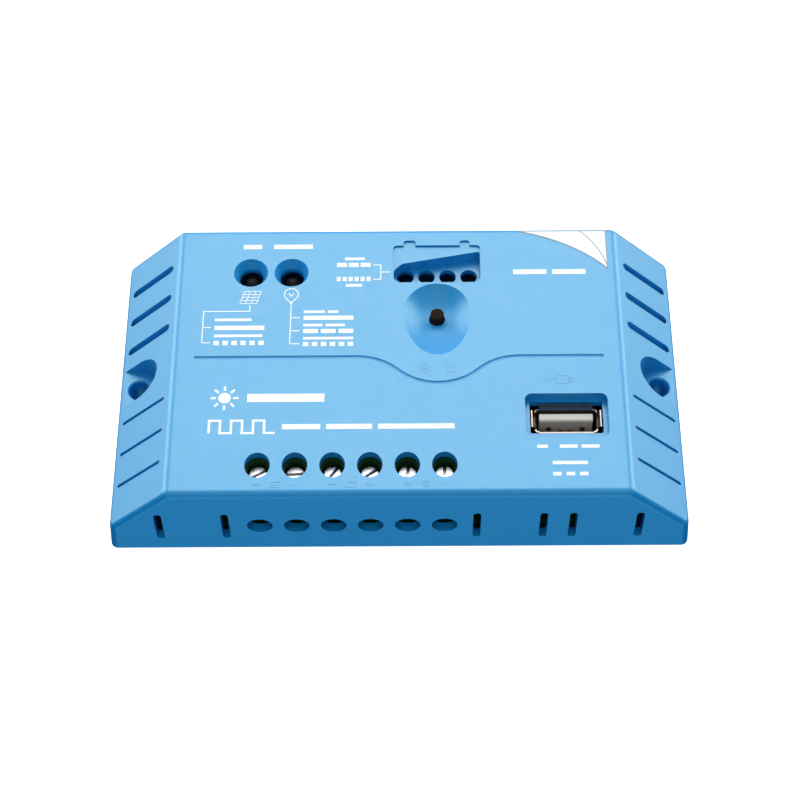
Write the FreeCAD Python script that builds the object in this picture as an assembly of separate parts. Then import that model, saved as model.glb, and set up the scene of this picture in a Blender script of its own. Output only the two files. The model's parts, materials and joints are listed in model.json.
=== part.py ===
import FreeCAD, Part
import os
from math import atan2, degrees, hypot, pi, sin
from FreeCAD import Vector

# Solar charge controller with a rising-cage terminal block, a USB outlet and a push button.
# Millimetres. X runs along the case, Y towards its back, Z up.
# The origin is the centre of the underside, on the surface that the case is screwed to.

# ---- Case ----
LENGTH = 121.2
DEPTH = 67.0
HEIGHT = 21.8
DECK_LENGTH = 94.1         # flat top between the two sloping ends
SIDE_HEIGHT = 8.2          # end wall below each slope
END_DRAFT = 0.7            # each end wall leans in by this much over its height
SHOULDER = LENGTH / 2 - END_DRAFT
DRAFT = 0.1                # front and back lean in by this much over the height
WALL = 2.0
CORNER_R = 1.6             # upright corners
CREASE_R = 2.0             # deck to slope
EDGE_R = 1.4               # front and back edges
GAP = 0.3                  # clearance between pieces that don't touch

# ---- Wall mounting ----
MOUNT_SPACING = 111.5
MOUNT_X = (-MOUNT_SPACING / 2, MOUNT_SPACING / 2)
MOUNT_HOLE_R = 2.3
MOUNT_CHAMFER = 0.3
MOUNT_TUBE_R = 3.8
POCKET_R = 4.6
POCKET_FLOOR_Z = 9.0
CUP_WALL = 1.6             # plastic round the well
CUP_FLOOR = 1.8            # and under it

# ---- Grooves in the slopes, and vents through the front and back ----
SLOPE_SLOT_PITCH = 7.65
SLOPE_SLOT_FIRST = 9.05    # from the mounting holes' row to the nearest slot
SLOPE_SLOT_SHIFT = 0.15
SLOPE_SLOT_X = (48.8, 58.7)
BACK_SLOT = (1.8, 1.3)     # width and depth of the three slots behind each mounting hole
FRONT_SLOT = (0.8, 0.6)    # and of the three in front of it
FACE_SLOT_WIDTH = 1.6
FACE_SLOT_Z = (4.1, 13.9)
FRONT_VENT_X = (-49.5, -35.8, 16.05, 29.75, 35.8, 49.5)
BACK_VENT_X = (-49.5, -38.2, -15.3, -7.65, 22.1, 29.75, 38.2, 49.5)

# ---- Base plate and case screws ----
BASE_THICKNESS = 2.0
CASE_SCREW_X = 44.0
CASE_SCREW_Y = 27.0
CASE_BOSS_R = 3.0
CASE_SCREW_R = 1.3
CASE_HEAD_R = 2.4
CASE_HEAD_H = 1.1
CASE_SCREW_LENGTH = 9.0
SCREW_PLACES = [(x, y) for x in (-CASE_SCREW_X, CASE_SCREW_X) for y in (-CASE_SCREW_Y, CASE_SCREW_Y)]
CROSS_ARM = 0.45           # width of a cross recess

# ---- Circuit board ----
BOARD_Z = 4.0
BOARD_THICKNESS = 1.6
BOARD_TOP = BOARD_Z + BOARD_THICKNESS
BOARD_X = 46.5
BOARD_Y = (-30.6, 30.0)
BOARD_SCREW_X = 41.0
BOARD_SCREW_Y = (16.0, -4.0)
BOARD_SCREW_R = 1.25
BOARD_HEAD_R = 2.3
STANDOFF_R = 2.6
STANDOFFS = [(x, y) for x in (-BOARD_SCREW_X, BOARD_SCREW_X) for y in BOARD_SCREW_Y]

# ---- Terminal block ----
POLES = 6
POLE_PITCH = 7.62
FIRST_POLE_X = -28.7
SCREW_Y = -26.35
BLOCK_Y = (-30.6, -20.6)
BLOCK_TOP = 19.5
WIRE_Z = 9.2
WIRE_HOLE_R = 2.65
DRIVER_HOLE_RX = 2.61
DRIVER_HOLE_RY = 2.95
HEAD_TOP = 18.0
HEAD_H = 1.6
HEAD_R = 2.0
HEAD_BORE_R = 2.25
SLOT_WIDTH = 0.7
SLOT_DEPTH = 0.9
SHANK_R = 1.5
SCREW_TIP = 11.4
CAGE_X = 2.7
CAGE_Y = (-29.0, -23.8)
CAGE_Z = (6.5, 13.0)
CAGE_FLOOR = 0.8
CAGE_ROOF = 1.6
CAGE_SIDE = 0.7
CAGE_TRAVEL = 2.5
CHAMBER_CLEARANCE = 0.25
CONTACT_Z = (10.5, 11.3)
CONTACT_HALF = 1.7
PIN_Y = (-22.8, -22.0)
PIN_HALF = 0.6
PIN_BOTTOM = 2.6
# How far each screw happens to be turned: its slot's angle from X.
SLOT_ANGLES = (30, 3, 55, 35, 80, 90)

# ---- USB outlet ----
USB_X = 34.75
USB_Y = -13.95
USB_SHELL = (13.1, 5.72)
USB_SHEET = 0.3
USB_LIP_Z = 18.2
USB_TOP = 19.1
USB_FLARE = 0.7
RECESS = (17.1, 10.4)
RECESS_CENTRE = (34.7, -14.7)
RECESS_Z = 19.5
RECESS_R = 1.4
APERTURE = (15.1, 7.7)
TONGUE = (11.1, 1.84)
TONGUE_TOP = 18.3
TONGUE_Y = -13.1
USB_CONTACTS = ((-3.5, 15.8), (-1.0, 14.8), (1.0, 14.8), (3.5, 15.8))     # place along X, and top

# ---- Push button ----
BUTTON_X = 8.3
BUTTON_Y = 11.3
BUTTON_HOLE_R = 1.7
BUTTON_R = 1.45
BUTTON_TOP = 20.9
BUTTON_TRAVEL = 0.25
DIMPLE_DEPTH = 3.1
DIMPLE_BACK = 7.3          # from the button to the dimple's rim, each way
DIMPLE_FRONT = 11.0
DIMPLE_SIDE = 7.1
SWITCH_SIZE = 6.0
SWITCH_TOP = 9.2
SWITCH_SHEET = 0.3         # the plate over the switch
SWITCH_FLOOR = BOARD_TOP + 1.8
DOME_RISE = 0.4
DOME_SHEET = 0.12
FLANGE_Z = SWITCH_FLOOR + DOME_RISE + DOME_SHEET + BUTTON_TRAVEL + 0.03

# ---- Indicator lamps ----
LAMP_Y = 21.7
LAMP_X = (-31.7, -22.95)
FUNNEL_RIM_R = 3.68
FUNNEL_R = 2.55
FUNNEL_Z = 19.6
LEVEL_X = 1.56
LEVEL_PITCH = 4.57
LEVEL_Y = 22.75
LEVEL_HOLE_R = 1.82
LEVELS = 4
LED_R = 1.5
LED_TIP = 18.9
LEVEL_LED_TIP = 15.8
LED_HEIGHT = 5.3
LED_LEAD = 0.25
LED_LEAD_GAP = 1.27

# ---- Battery-shaped window ----
WINDOW_X = (-1.05, 17.8)
WINDOW_Y = (18.95, 28.8)
WINDOW_STEP = 0.45
WINDOW_FLOOR = 18.4
POST_TOP = 30.1
POSTS = ((1.2, 3.8), (13.4, 15.5))
POCKET_INSET = 0.1         # from the step's edge to the deep pocket
POCKET_FILLET = 1.6
SLANT = ((0.9, 24.2), (17.7, 27.4))
SLANT_CORNER = 1.7         # drop of the pocket's outline at the slant's low end

# ---- Groove across the deck ----
GROOVE_R = 0.4
GROOVE_DEPTH = 0.28
GROOVE_X = (-42.9, 43.0)
GROOVE_Y = -0.15
DIP_HALF = 16.9            # the dip is centred on the button
DIP_DROP = 6.5

# ---- Parts on the board: places on X and Y, then sizes ----
CAPACITORS = (("input_capacitor", -39.5, -14.0, 5.0, 12.5), ("output_capacitor", 23.0, -24.5, 4.0, 11.5),
              ("usb_capacitor", 34.0, -25.0, 3.15, 11.0))
TRANSISTOR_X = (-26.5, -15.5, -4.5, 6.5)
TRANSISTOR_Y = -12.5
TRANSISTOR_BODY = (10.0, 8.6, 3.9)
TRANSISTOR_TAB = (8.8, 8.0, 0.5)
TRANSISTOR_LEG = (0.8, 1.8)
TRANSISTOR_LEG_PITCH = 2.54
INDUCTOR_PLACE = (23.5, -12.5)
INDUCTOR_SIZE = 7.3
INDUCTOR_H = 4.0
CHIPS = ((-12.0, 8.0, 12.8, 7.5, 2.3, 10), (-31.0, 6.0, 4.9, 3.9, 1.5, 4), (25.0, 4.0, 4.9, 3.9, 1.5, 4),
         (33.0, 6.0, 4.9, 3.9, 1.5, 4), (12.5, -3.0, 4.9, 3.9, 1.5, 4))      # the last is pins along a side
CHIP_PIN_PITCH = 1.27
SHUNT_PLACE = (15.6, -13.0)
SHUNT_SIZE = (6.4, 3.2)
DIODE_PLACES = ((-36.4, -26.0), (15.9, -24.5))
DIODE_SIZE = (4.6, 7.0, 2.2)
RESISTOR_ROWS = (-5.5, -2.5, 15.5, 26.5)
RESISTORS_IN_ROW = 8
RESISTOR_X = -34.0
RESISTOR_PITCH = 4.4
RESISTOR_SIZE = (2.0, 1.25, 0.6)

UP = Vector(0, 0, 1)
ALONG_X = Vector(1, 0, 0)
ALONG_Y = Vector(0, 1, 0)


def box(x, y, z):
    """A block between two values on each axis."""
    return Part.makeBox(x[1] - x[0], y[1] - y[0], z[1] - z[0], Vector(x[0], y[0], z[0]))


def block(x, y, size_x, size_y, z):
    """A block centred on x, y."""
    return box((x - size_x / 2, x + size_x / 2), (y - size_y / 2, y + size_y / 2), z)


def rod(radius, x, y, z):
    return Part.makeCylinder(radius, z[1] - z[0], Vector(x, y, z[0]), UP)


def prism(points, height):
    """Extrude a closed outline of points by the vector height."""
    return Part.Face(Part.makePolygon(points + points[:1])).extrude(height)


def rounded_block(x, y, size_x, size_y, z, radius):
    body = block(x, y, size_x, size_y, z)
    return body.makeFillet(radius, upright_edges(body))


def upright_edges(shape):
    return [e for e in shape.Edges if is_along(e, UP)]


def is_along(edge, direction):
    if len(edge.Vertexes) < 2:
        return False
    way = edge.Vertexes[1].Point - edge.Vertexes[0].Point
    return way.Length > 0 and way.cross(direction).Length < 1e-6 * way.Length


def ellipse_rod(x, y, half_x, half_y, z):
    """An upright cylinder of elliptical section, long in Y."""
    curve = Part.Ellipse(Vector(x, y + half_y, z[0]), Vector(x + half_x, y, z[0]), Vector(x, y, z[0]))
    return Part.Face(Part.Wire(curve.toShape())).extrude(UP * (z[1] - z[0]))


def pole_x(pole):
    return FIRST_POLE_X + pole * POLE_PITCH


def save(shape, node):
    shape.exportStep("parts/" + node + ".step")


# ---------------------------------------------------------------- case

def case_form(inset):
    """The case's solid form, moved inwards by inset on every face but the underside."""
    run = SHOULDER - DECK_LENGTH / 2
    rise = HEIGHT - SIDE_HEIGHT
    slant = hypot(run, rise)
    lean = END_DRAFT / SIDE_HEIGHT
    top = HEIGHT - inset
    deck = DECK_LENGTH / 2 - inset * (slant - run) / rise
    end = LENGTH / 2 - inset * hypot(1, lean)
    shoulder = (deck + top * run / rise - end) / (run / rise - lean)
    side = end - lean * shoulder
    y = DEPTH / 2
    outline = [(-end, 0), (-side, shoulder), (-deck, top), (deck, top), (side, shoulder), (end, 0)]
    profile = prism([Vector(px, -y, pz) for px, pz in outline], ALONG_Y * DEPTH)
    foot = y - inset
    head = foot - DRAFT
    section = [(-foot, 0), (foot, 0), (head, top), (-head, top)]
    return profile.common(prism([Vector(-end, py, pz) for py, pz in section], ALONG_X * 2 * end))


def rounded_case():
    """The outer form with its upright corners, then the deck's creases, then its rims rounded."""
    form = case_form(0)
    form = form.makeFillet(CORNER_R, [e for e in form.Edges if is_upright_corner(e)])
    creases = [e for e in form.Edges if is_along(e, ALONG_Y) and lowest(e) > HEIGHT - 1]
    form = form.makeFillet(CREASE_R, creases)
    return form.makeFillet(EDGE_R, [e for e in form.Edges if is_sharp_upper(e)])


def lowest(edge):
    return min(v.Z for v in edge.Vertexes)


def is_upright_corner(edge):
    """The four corner edges, which rise from the underside."""
    return edge.BoundBox.ZLength > 1 and lowest(edge) < 0.01 and edge.BoundBox.XLength < 1


def is_sharp_upper(edge):
    """The front and back edges that run along the deck and down the slopes."""
    span = edge.BoundBox
    at_face = min(abs(abs(span.YMin) - DEPTH / 2), abs(abs(span.YMax) - DEPTH / 2)) < 1.0
    return at_face and span.ZMin > SIDE_HEIGHT - 0.5 and span.XLength > 0.5


def mount_pocket(x):
    """The well round a mounting hole, open towards the end of the case."""
    outward = 1 if x > 0 else -1
    span = sorted((x, outward * (LENGTH / 2 + 1)))
    well = rod(POCKET_R, x, 0, (POCKET_FLOOR_Z, HEIGHT + 1))
    return well.fuse(box(span, (-POCKET_R, POCKET_R), (POCKET_FLOOR_Z, HEIGHT + 1)))


def mount_cup(x):
    """The plastic under and round the well, with the tube that the wall screw passes through."""
    outward = 1 if x > 0 else -1
    span = sorted((x, outward * (LENGTH / 2 - 0.5)))
    outer = POCKET_R + CUP_WALL
    z = (POCKET_FLOOR_Z - CUP_FLOOR, HEIGHT)
    cup = rod(outer, x, 0, z).fuse(box(span, (-outer, outer), z))
    return cup.fuse(rod(MOUNT_TUBE_R, x, 0, (0, POCKET_FLOOR_Z - 1)))


def mount_hole(x):
    hole = rod(MOUNT_HOLE_R, x, 0, (-1, POCKET_FLOOR_Z + 1))
    chamfer = Part.makeCone(MOUNT_HOLE_R, MOUNT_HOLE_R + 2 * MOUNT_CHAMFER, 2 * MOUNT_CHAMFER,
                            Vector(x, 0, POCKET_FLOOR_Z - MOUNT_CHAMFER), UP)
    return hole.fuse(chamfer)


def slope_slots():
    """Three wide slots behind and three narrow ones in front of each mounting hole."""
    slots = []
    for row in range(3):
        offset = SLOPE_SLOT_FIRST + row * SLOPE_SLOT_PITCH
        for y, size in ((offset, BACK_SLOT), (-offset, FRONT_SLOT)):
            slots += [slope_slot(side, y + SLOPE_SLOT_SHIFT, *size) for side in (-1, 1)]
    return slots


def slope_slot(side, y, width, depth):
    """A blind slot that runs down one slope, with round ends."""
    fall = (HEIGHT - SIDE_HEIGHT) / (SHOULDER - DECK_LENGTH / 2)
    sink = depth * hypot(1, fall)
    inner, outer = SLOPE_SLOT_X
    low = [HEIGHT - (x - DECK_LENGTH / 2) * fall - sink for x in SLOPE_SLOT_X]
    outline = [(inner, low[0]), (outer, low[1]), (outer, HEIGHT), (inner, HEIGHT)]
    start = y - width / 2
    slot = prism([Vector(side * px, start, pz) for px, pz in outline], ALONG_Y * width)
    return slot.makeFillet(0.45 * width, upright_edges(slot))


def face_slot(x, front):
    """An upright vent slot with round ends through the front or back wall."""
    low, high = FACE_SLOT_Z
    radius = FACE_SLOT_WIDTH / 2
    y = -DEPTH / 2 - 1 if front else DEPTH / 2 - WALL - 2
    thickness = WALL + 3
    slot = box((x - radius, x + radius), (y, y + thickness), (low + radius, high - radius))
    for z in (low + radius, high - radius):
        slot = slot.fuse(Part.makeCylinder(radius, thickness, Vector(x, y, z), ALONG_Y))
    return slot


def egg(scale, z):
    """The dimple's rim: half an ellipse behind the button and a longer half in front of it."""
    centre = Vector(BUTTON_X, BUTTON_Y, z)
    side = Vector(DIMPLE_SIDE * scale, 0, 0)
    back = Vector(0, DIMPLE_BACK * scale, 0)
    front = Vector(0, -DIMPLE_FRONT * scale, 0)
    behind = half_ellipse(centre, side, back)
    before = half_ellipse(centre, Vector(-side.x, 0, 0), front)
    return Part.Wire([behind, before])


def half_ellipse(centre, side, end):
    """From centre + side round through centre + end to centre - side."""
    if side.Length >= end.Length:
        curve = Part.Ellipse(centre + side, centre + end, centre)
        return Part.ArcOfEllipse(curve, 0, pi).toShape()
    flank = Vector(-side.x, 0, 0)
    curve = Part.Ellipse(centre + end, centre + flank, centre)
    return Part.ArcOfEllipse(curve, -pi / 2, pi / 2).toShape()


def dimple():
    """A bowl whose depth grows with the square of the way in, steeper behind than in front."""
    rims = [egg(s, HEIGHT - DIMPLE_DEPTH * (1 - s * s)) for s in (1.02, 0.8, 0.6, 0.4, 0.2)]
    return Part.makeLoft(rims, True, False)


def window_outline():
    """The shallow step in the shape of a battery with its two posts."""
    x0, x1 = WINDOW_X
    y0, y1 = WINDOW_Y
    body = box((x0, x1), (y0, y1), (HEIGHT - WINDOW_STEP, HEIGHT + 1))
    body = body.makeFillet(0.9, [e for e in upright_edges(body) if e.Vertexes[0].Y > y0 + 1])
    body = body.makeFillet(1.7, [e for e in upright_edges(body) if e.Vertexes[0].Y < y0 + 1])
    for left, right in POSTS:
        post = box((left, right), (y1 - 2, POST_TOP), (HEIGHT - WINDOW_STEP, HEIGHT + 1))
        far = [e for e in upright_edges(post) if e.Vertexes[0].Y > y1]
        body = body.fuse(post.makeFillet(0.6, far))
    return body


def window_pocket():
    """The deep part of the window, below the slanting edge."""
    x0 = WINDOW_X[0] + POCKET_INSET
    y0 = WINDOW_Y[0] + POCKET_INSET
    (left, low), (right, high) = SLANT
    outline = [(x0, y0), (right, y0), (right, high), (left, low), (x0, low - SLANT_CORNER)]
    pocket = prism([Vector(px, py, WINDOW_FLOOR) for px, py in outline], UP * (HEIGHT + 1 - WINDOW_FLOOR))
    corners = [(e, e.Vertexes[0]) for e in upright_edges(pocket)]
    pocket = pocket.makeFillet(POCKET_FILLET, [e for e, v in corners if v.X < left + 0.2 or v.Y < y0 + 0.2])
    return pocket.makeFillet(0.5, [e for e in upright_edges(pocket) if e.Vertexes[0].Y > high - 0.2])


def groove():
    """A line that runs straight across the deck and dips round the button in three tangent arcs."""
    turn = 2 * atan2(DIP_DROP, DIP_HALF)
    radius = DIP_HALF / (2 * sin(turn))
    left = BUTTON_X - DIP_HALF
    right = BUTTON_X + DIP_HALF
    top = GROOVE_Y - radius
    bottom = GROOVE_Y - DIP_DROP + radius
    return [straight_groove(GROOVE_X[0], left), straight_groove(right, GROOVE_X[1]),
            arc_groove(left, top, radius, pi / 2 - turn, pi / 2),
            arc_groove(right, top, radius, pi / 2, pi / 2 + turn),
            arc_groove(BUTTON_X, bottom, radius, -pi / 2 - turn, -pi / 2 + turn)]


def straight_groove(x0, x1):
    start = Vector(x0, GROOVE_Y, HEIGHT - GROOVE_DEPTH + GROOVE_R)
    return Part.makeCylinder(GROOVE_R, x1 - x0, start, ALONG_X)


def arc_groove(x, y, radius, start, end):
    """A curved stretch of the groove about x, y."""
    centre = Vector(x, y, HEIGHT - GROOVE_DEPTH + GROOVE_R)
    stretch = Part.makeTorus(radius, GROOVE_R, centre, UP, 0, 360, degrees(end - start))
    stretch.rotate(centre, UP, degrees(start))
    return stretch


def deck_backing():
    """Extra plastic under the deck where the dimple, window, lamps and outlet go deep."""
    under = HEIGHT - WALL + 0.2
    bowl = Part.Face(egg(0.86, 17.2)).extrude(UP * (under - 17.2))
    tray = box((WINDOW_X[0] - 1.2, WINDOW_X[1] + 1.2), (WINDOW_Y[0] - 0.8, WINDOW_Y[1] + 0.8), (17.0, under))
    frame = rounded_block(*RECESS_CENTRE, RECESS[0] + 3, RECESS[1] + 3, (17.8, under), 2)
    collars = [rod(FUNNEL_RIM_R + 0.3, x, LAMP_Y, (18.4, under)) for x in LAMP_X]
    return [bowl, tray, frame] + collars


def case_bosses():
    """Four posts for the case screws, from the base plate up to the deck."""
    return [rod(CASE_BOSS_R, x, y, (BASE_THICKNESS, HEIGHT - WALL + 0.1)) for x, y in SCREW_PLACES]


def funnel(x):
    """The flared hole round a lamp."""
    rise = HEIGHT - FUNNEL_Z
    slope = (FUNNEL_RIM_R - FUNNEL_R) / rise
    flare = Part.makeCone(FUNNEL_R, FUNNEL_RIM_R + slope, rise + 1, Vector(x, LAMP_Y, FUNNEL_Z), UP)
    return flare.fuse(rod(FUNNEL_R, x, LAMP_Y, (17, FUNNEL_Z)))


def deck_cuts():
    cuts = [dimple(), window_outline(), window_pocket()]
    cuts.append(rod(BUTTON_HOLE_R, BUTTON_X, BUTTON_Y, (15, HEIGHT)))
    for level in range(LEVELS):
        cuts.append(rod(LEVEL_HOLE_R, LEVEL_X + level * LEVEL_PITCH, LEVEL_Y, (16, WINDOW_FLOOR + 0.01)))
    cuts += [funnel(x) for x in LAMP_X]
    for pole in range(POLES):
        cuts.append(ellipse_rod(pole_x(pole), SCREW_Y, DRIVER_HOLE_RX, DRIVER_HOLE_RY, (18, HEIGHT + 1)))
    cuts.append(rounded_block(*RECESS_CENTRE, *RECESS, (RECESS_Z, HEIGHT + 1), RECESS_R))
    cuts.append(rounded_block(USB_X, USB_Y, *APERTURE, (17, RECESS_Z + 0.5), 0.4))
    return cuts + groove()


def front_cuts():
    cuts = [face_slot(x, True) for x in FRONT_VENT_X]
    cuts += [face_slot(x, False) for x in BACK_VENT_X]
    for pole in range(POLES):
        start = Vector(pole_x(pole), -DEPTH / 2 - 1, WIRE_Z)
        cuts.append(Part.makeCylinder(WIRE_HOLE_R, WALL + 2, start, ALONG_Y))
    return cuts


def top_cover():
    outer = rounded_case()
    shell = outer.cut(case_form(WALL))
    inside = case_bosses() + deck_backing() + [mount_cup(x) for x in MOUNT_X]
    shell = shell.fuse([piece.common(outer) for piece in inside]).removeSplitter()
    cuts = slope_slots() + deck_cuts() + front_cuts()
    for x in MOUNT_X:
        cuts += [mount_pocket(x), mount_hole(x)]
    cuts += [rod(CASE_SCREW_R, x, y, (0, CASE_SCREW_LENGTH + 1)) for x, y in SCREW_PLACES]
    return shell.cut(cuts).removeSplitter()


def base_plate():
    """Closes the underside inside the cover's skirt and carries the board's standoffs."""
    side = WALL + GAP - 0.05
    plate = rounded_block(0, 0, LENGTH - 2 * side, DEPTH - 2 * side, (0, BASE_THICKNESS), 1.5)
    cuts = [rod(MOUNT_TUBE_R + GAP, x, 0, (-1, BASE_THICKNESS + 1)) for x in MOUNT_X]
    for x, y in STANDOFFS:
        plate = plate.fuse(rod(STANDOFF_R, x, y, (BASE_THICKNESS - 0.5, BOARD_Z)))
        cuts.append(rod(BOARD_SCREW_R, x, y, (0.6, BOARD_Z + 1)))
    for x, y in SCREW_PLACES:
        cuts.append(rod(CASE_SCREW_R + 0.15, x, y, (-1, BASE_THICKNESS + 1)))
        cuts.append(rod(CASE_HEAD_R + 0.2, x, y, (-1, CASE_HEAD_H + 0.1)))
    return plate.cut(cuts).removeSplitter()


def cross_recess(x, y, z, radius, height):
    """The cross-shaped driver recess of a screw head."""
    cross = block(x, y, 2 * radius, CROSS_ARM, (z, z + height))
    return cross.fuse(block(x, y, CROSS_ARM, 2 * radius, (z, z + height)))


def case_screws():
    """Four self-tapping screws, heads down, sunk into the base plate."""
    screws = []
    top = CASE_HEAD_H + 0.1
    for x, y in SCREW_PLACES:
        head = rod(CASE_HEAD_R, x, y, (top - CASE_HEAD_H, top))
        shank = rod(CASE_SCREW_R, x, y, (top, CASE_SCREW_LENGTH))
        recess = cross_recess(x, y, -0.4, 1.3, 1.1)
        screws.append(head.fuse(shank).cut(recess).removeSplitter())
    return Part.makeCompound(screws)


# ---------------------------------------------------------------- board and what is soldered to it

def board_notch(x, y, z):
    """The corner of the board cut away round a case post."""
    reach = CASE_BOSS_R + GAP
    across = sorted((x - reach, x + 2 * reach) if x > 0 else (x - 2 * reach, x + reach))
    along = sorted((y - reach, y + 2 * reach) if y > 0 else (y - 2 * reach, y + reach))
    return box(across, along, z)


def circuit_board():
    depth = BOARD_Y[1] - BOARD_Y[0]
    board = rounded_block(0, sum(BOARD_Y) / 2, 2 * BOARD_X, depth, (BOARD_Z, BOARD_TOP), 1.0)
    z = (BOARD_Z - 1, BOARD_TOP + 1)
    cuts = [rod(BOARD_SCREW_R + 0.2, x, y, z) for x, y in STANDOFFS]
    cuts += [board_notch(x, y, z) for x, y in SCREW_PLACES]
    for pole in range(POLES):
        cuts.append(rod(PIN_HALF * 1.6, pole_x(pole), sum(PIN_Y) / 2, z))
    for x, y, _ in led_places():
        cuts += [rod(LED_LEAD * 1.7, x + side * LED_LEAD_GAP, y, z) for side in (-1, 1)]
    return board.cut(cuts)


def board_screws():
    screws = []
    for x, y in STANDOFFS:
        head = rod(BOARD_HEAD_R, x, y, (BOARD_TOP, BOARD_TOP + 1.4))
        head = head.makeFillet(0.5, [e for e in head.Edges if e.BoundBox.ZMin > BOARD_TOP + 1])
        shank = rod(BOARD_SCREW_R, x, y, (0.9, BOARD_TOP))
        recess = cross_recess(x, y, BOARD_TOP + 0.6, 1.2, 1.0)
        screws.append(head.fuse(shank).cut(recess).removeSplitter())
    return Part.makeCompound(screws)


def terminal_housing():
    """The block's moulding: a screw well, a cage chamber and a wire tunnel for each pole."""
    half = POLE_PITCH / 2
    x = (pole_x(0) - half, pole_x(POLES - 1) + half)
    body = box(x, BLOCK_Y, (BOARD_TOP, BLOCK_TOP))
    body = body.makeChamfer(0.8, [e for e in body.Edges if is_along(e, ALONG_X) and e.Vertexes[0].Z > 19])
    ledge = HEAD_TOP - HEAD_H - 0.05
    chamber_top = CAGE_Z[1] + CAGE_TRAVEL + 0.1
    cuts = []
    for pole in range(POLES):
        px = pole_x(pole)
        cuts.append(rod(HEAD_BORE_R, px, SCREW_Y, (ledge, BLOCK_TOP + 1)))
        cuts.append(rod(SHANK_R + CHAMBER_CLEARANCE, px, SCREW_Y, (chamber_top - 0.1, ledge + 0.1)))
        clear = CAGE_X + CHAMBER_CLEARANCE
        depth = (CAGE_Y[0] - CHAMBER_CLEARANCE, PIN_Y[1] + 0.2)
        cuts.append(box((px - clear, px + clear), depth, (BOARD_TOP - 1, chamber_top)))
        start = Vector(px, BLOCK_Y[0] - 1, WIRE_Z)
        cuts.append(Part.makeCylinder(WIRE_HOLE_R, 3, start, ALONG_Y))
        groove_x = px + half
        if pole < POLES - 1:
            cuts.append(box((groove_x - 0.3, groove_x + 0.3), (BLOCK_Y[0] - 1, BLOCK_Y[0] + 0.5),
                            (BOARD_TOP - 1, BLOCK_TOP + 1)))
    return body.cut(cuts).removeSplitter()


def terminal_screw(pole):
    """A slotted cheese-head screw, turned to its own angle."""
    px = pole_x(pole)
    head = rod(HEAD_R, px, SCREW_Y, (HEAD_TOP - HEAD_H, HEAD_TOP))
    head = head.makeFillet(0.3, [e for e in head.Edges if e.BoundBox.ZMin > HEAD_TOP - 0.1])
    shank = rod(SHANK_R, px, SCREW_Y, (SCREW_TIP, HEAD_TOP - HEAD_H))
    shank = shank.makeChamfer(0.4, [e for e in shank.Edges if e.BoundBox.ZMax < SCREW_TIP + 0.1])
    slot = block(px, SCREW_Y, 3 * HEAD_R, SLOT_WIDTH, (HEAD_TOP - SLOT_DEPTH, HEAD_TOP + 1))
    slot.rotate(Vector(px, SCREW_Y, 0), UP, SLOT_ANGLES[pole])
    return head.fuse(shank).cut(slot).removeSplitter()


def clamp_cage(pole):
    """A plated frame that the screw draws up, so that its floor clamps the wire to the contact."""
    px = pole_x(pole)
    low, high = CAGE_Z
    body = box((px - CAGE_X, px + CAGE_X), CAGE_Y, CAGE_Z)
    body = body.makeFillet(0.5, [e for e in body.Edges if is_along(e, ALONG_Y)])
    inside = CAGE_X - CAGE_SIDE
    opening = (low + CAGE_FLOOR, high - CAGE_ROOF)
    window = box((px - inside, px + inside), (CAGE_Y[0] - 1, CAGE_Y[1] + 1), opening)
    thread = rod(SHANK_R + 0.06, px, SCREW_Y, (high - CAGE_ROOF - 1, high + 1))
    return body.cut([window, thread])


def terminal_contacts():
    """One tinned strip per pole: a flat bar through the cage, bent down to its solder pin."""
    contacts = []
    for pole in range(POLES):
        px = pole_x(pole)
        bar = box((px - CONTACT_HALF, px + CONTACT_HALF), (CAGE_Y[0] + 0.2, PIN_Y[1]), CONTACT_Z)
        leg = box((px - CONTACT_HALF, px + CONTACT_HALF), PIN_Y, (BOARD_TOP + 0.3, CONTACT_Z[0]))
        pin = box((px - PIN_HALF, px + PIN_HALF), PIN_Y, (PIN_BOTTOM, BOARD_TOP + 0.3))
        contacts.append(bar.fuse([leg, pin]).removeSplitter())
    return Part.makeCompound(contacts)


def usb_shell():
    """The plated steel shell, standing on the board, with four lips flared at its mouth."""
    size_x, size_y = USB_SHELL
    outer = rounded_block(USB_X, USB_Y, size_x, size_y, (BOARD_TOP, USB_LIP_Z), 0.8)
    inner_x = size_x - 2 * USB_SHEET
    inner_y = size_y - 2 * USB_SHEET
    inner = rounded_block(USB_X, USB_Y, inner_x, inner_y, (BOARD_TOP - 1, USB_LIP_Z + 1), 0.5)
    shell = outer.cut(inner)
    for turn in range(4):
        half = (size_x if turn % 2 == 0 else size_y) / 2
        length = 4.0 if turn % 2 == 0 else 11.2
        lip = usb_lip(half, length)
        lip.rotate(Vector(0, 0, 0), UP, 90 * turn)
        lip.translate(Vector(USB_X, USB_Y, 0))
        shell = shell.fuse(lip)
    return shell.removeSplitter()


def usb_lip(half, length):
    """A strip at x = half, leaning outwards by the flare."""
    low = USB_LIP_Z - 0.3
    tip = half + USB_FLARE
    outline = [(half - USB_SHEET, low), (half, low), (half, USB_LIP_Z), (tip, USB_TOP - 0.2), (tip, USB_TOP),
               (tip - 0.25, USB_TOP), (half - USB_SHEET, USB_LIP_Z)]
    return prism([Vector(px, -length / 2, pz) for px, pz in outline], ALONG_Y * length)


def usb_tongue():
    """The white moulding: a foot that fills the shell's bottom and the tongue that stands on it."""
    foot_x = USB_SHELL[0] - 2 * USB_SHEET - 0.1
    foot_y = USB_SHELL[1] - 2 * USB_SHEET - 0.1
    foot = rounded_block(USB_X, USB_Y, foot_x, foot_y, (BOARD_TOP, BOARD_TOP + 3), 0.4)
    tongue = block(USB_X, TONGUE_Y, TONGUE[0], TONGUE[1], (BOARD_TOP + 2, TONGUE_TOP))
    rim = [e for e in tongue.Edges if e.BoundBox.ZMin > TONGUE_TOP - 0.1 and is_along(e, ALONG_X)]
    return foot.fuse(tongue.makeChamfer(0.3, rim)).removeSplitter()


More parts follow.
